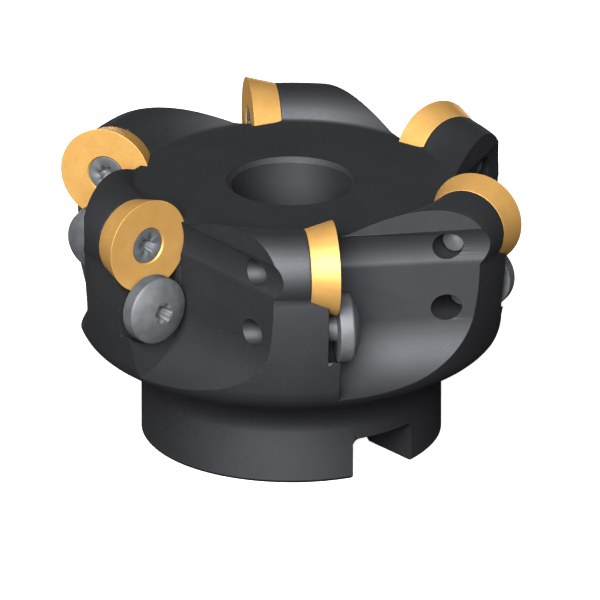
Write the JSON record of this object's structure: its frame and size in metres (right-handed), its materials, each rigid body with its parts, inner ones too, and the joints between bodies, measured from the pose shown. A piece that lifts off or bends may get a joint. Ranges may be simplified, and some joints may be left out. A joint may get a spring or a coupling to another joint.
{
  "type": "face mill",
  "caption": "Shell face mill: a flanged steel body on a hub, with screwed and clamped round inserts round its face and a bored, slotted hub for an arbor.",
  "frame": {"origin": "centre of the hub's back face, on the cutting axis", "axes": "+Z out of the cutting face along the cutting axis, +X along the drive slot"},
  "size_m": [0.074, 0.0808, 0.0496],
  "materials": {
    "body": "black oxide, satin",
    "insert": "gold titanium nitride coating on ground carbide",
    "screw": "plain turned steel"
  },
  "bodies": {
    "cutter": {"cutter_body": "body"},
    "insert_1": {"insert_1": "insert"},
    "insert_screw_1": {"insert_screw_1": "screw"},
    "clamp_screw_1": {"clamp_screw_1": "screw"},
    "insert_2": {"insert_2": "insert"},
    "insert_screw_2": {"insert_screw_2": "screw"},
    "clamp_screw_2": {"clamp_screw_2": "screw"},
    "insert_3": {"insert_3": "insert"},
    "insert_screw_3": {"insert_screw_3": "screw"},
    "clamp_screw_3": {"clamp_screw_3": "screw"},
    "insert_4": {"insert_4": "insert"},
    "insert_screw_4": {"insert_screw_4": "screw"},
    "clamp_screw_4": {"clamp_screw_4": "screw"},
    "insert_5": {"insert_5": "insert"},
    "insert_screw_5": {"insert_screw_5": "screw"},
    "clamp_screw_5": {"clamp_screw_5": "screw"},
    "insert_6": {"insert_6": "insert"},
    "insert_screw_6": {"insert_screw_6": "screw"},
    "clamp_screw_6": {"clamp_screw_6": "screw"}
  },
  "joints": [
    {"name": "insert_1_index", "type": "hinge", "parent": "cutter", "child": "insert_1", "pos_m": [0.02917, -0.01423, 0.0416], "axis": [0.509, 0.8607, 0], "continuous": true},
    {"name": "insert_2_index", "type": "hinge", "parent": "cutter", "child": "insert_2", "pos_m": [0.0269, 0.01815, 0.0416], "axis": [-0.4909, 0.8712, 0], "continuous": true},
    {"name": "insert_3_index", "type": "hinge", "parent": "cutter", "child": "insert_3", "pos_m": [-0.00226, 0.03237, 0.0416], "axis": [-0.9999, 0.0105, 0], "continuous": true},
    {"name": "insert_4_index", "type": "hinge", "parent": "cutter", "child": "insert_4", "pos_m": [-0.02917, 0.01423, 0.0416], "axis": [-0.509, -0.8607, 0], "continuous": true},
    {"name": "insert_5_index", "type": "hinge", "parent": "cutter", "child": "insert_5", "pos_m": [-0.0269, -0.01815, 0.0416], "axis": [0.4909, -0.8712, 0], "continuous": true},
    {"name": "insert_6_index", "type": "hinge", "parent": "cutter", "child": "insert_6", "pos_m": [0.00226, -0.03237, 0.0416], "axis": [0.9999, -0.0105, 0], "continuous": true},
    {"name": "insert_screw_1_turn", "type": "hinge", "parent": "cutter", "child": "insert_screw_1", "pos_m": [0.02917, -0.01423, 0.0416], "axis": [0.509, 0.8607, 0], "range_deg": [0, 2850]},
    {"name": "insert_screw_2_turn", "type": "hinge", "parent": "cutter", "child": "insert_screw_2", "pos_m": [0.0269, 0.01815, 0.0416], "axis": [-0.4909, 0.8712, 0], "range_deg": [0, 2850]},
    {"name": "insert_screw_3_turn", "type": "hinge", "parent": "cutter", "child": "insert_screw_3", "pos_m": [-0.00226, 0.03237, 0.0416], "axis": [-0.9999, 0.0105, 0], "range_deg": [0, 2850]},
    {"name": "insert_screw_4_turn", "type": "hinge", "parent": "cutter", "child": "insert_screw_4", "pos_m": [-0.02917, 0.01423, 0.0416], "axis": [-0.509, -0.8607, 0], "range_deg": [0, 2850]},
    {"name": "insert_screw_5_turn", "type": "hinge", "parent": "cutter", "child": "insert_screw_5", "pos_m": [-0.0269, -0.01815, 0.0416], "axis": [0.4909, -0.8712, 0], "range_deg": [0, 2850]},
    {"name": "insert_screw_6_turn", "type": "hinge", "parent": "cutter", "child": "insert_screw_6", "pos_m": [0.00226, -0.03237, 0.0416], "axis": [0.9999, -0.0105, 0], "range_deg": [0, 2850]},
    {"name": "clamp_screw_1_turn", "type": "hinge", "parent": "cutter", "child": "clamp_screw_1", "pos_m": [0.02917, -0.01423, 0.03075], "axis": [0.509, 0.8607, 0], "range_deg": [0, 2780]},
    {"name": "clamp_screw_2_turn", "type": "hinge", "parent": "cutter", "child": "clamp_screw_2", "pos_m": [0.0269, 0.01815, 0.03075], "axis": [-0.4909, 0.8712, 0], "range_deg": [0, 2780]},
    {"name": "clamp_screw_3_turn", "type": "hinge", "parent": "cutter", "child": "clamp_screw_3", "pos_m": [-0.00226, 0.03237, 0.03075], "axis": [-0.9999, 0.0105, 0], "range_deg": [0, 2780]},
    {"name": "clamp_screw_4_turn", "type": "hinge", "parent": "cutter", "child": "clamp_screw_4", "pos_m": [-0.02917, 0.01423, 0.03075], "axis": [-0.509, -0.8607, 0], "range_deg": [0, 2780]},
    {"name": "clamp_screw_5_turn", "type": "hinge", "parent": "cutter", "child": "clamp_screw_5", "pos_m": [-0.0269, -0.01815, 0.03075], "axis": [0.4909, -0.8712, 0], "range_deg": [0, 2780]},
    {"name": "clamp_screw_6_turn", "type": "hinge", "parent": "cutter", "child": "clamp_screw_6", "pos_m": [0.00226, -0.03237, 0.03075], "axis": [0.9999, -0.0105, 0], "range_deg": [0, 2780]}
  ]
}
